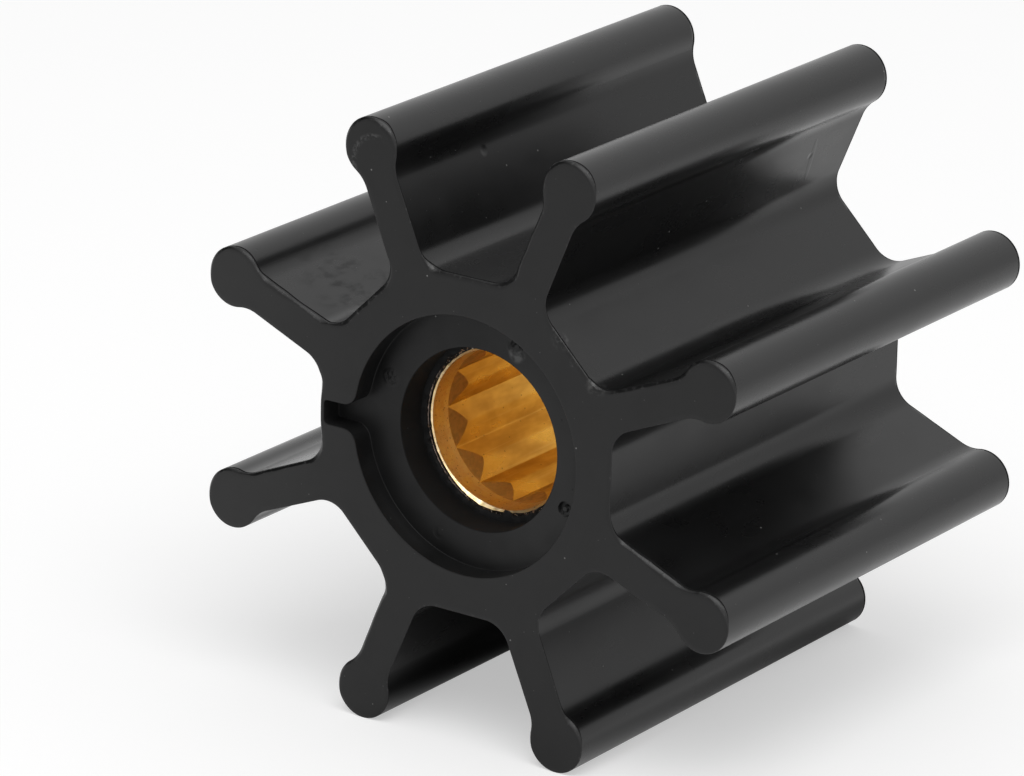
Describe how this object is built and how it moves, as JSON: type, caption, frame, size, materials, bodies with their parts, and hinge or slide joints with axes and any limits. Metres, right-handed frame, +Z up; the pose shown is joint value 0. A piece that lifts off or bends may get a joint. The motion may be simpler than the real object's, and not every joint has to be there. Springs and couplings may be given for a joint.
{
  "type": "pump impeller",
  "caption": "Flexible pump impeller: rubber hub with straight bulb-tipped vanes, moulded round a grooved metal bush in a recessed front face.",
  "frame": {"origin": "centre of the impeller on the shaft axis, half way between the two end faces", "axes": "+Y along the shaft from the recessed front face to the rear face, +Z up with the impeller standing on two vane tips, +X to the right seen from the front"},
  "size_m": [0.0606, 0.0506, 0.0606],
  "materials": {
    "rubber": "satin black moulded nitrile or neoprene rubber",
    "brass": "machined golden brass with fine streaks along the bore"
  },
  "bodies": {
    "root": {"rubber_body": "rubber", "drive_insert": "brass"}
  },
  "joints": []
}
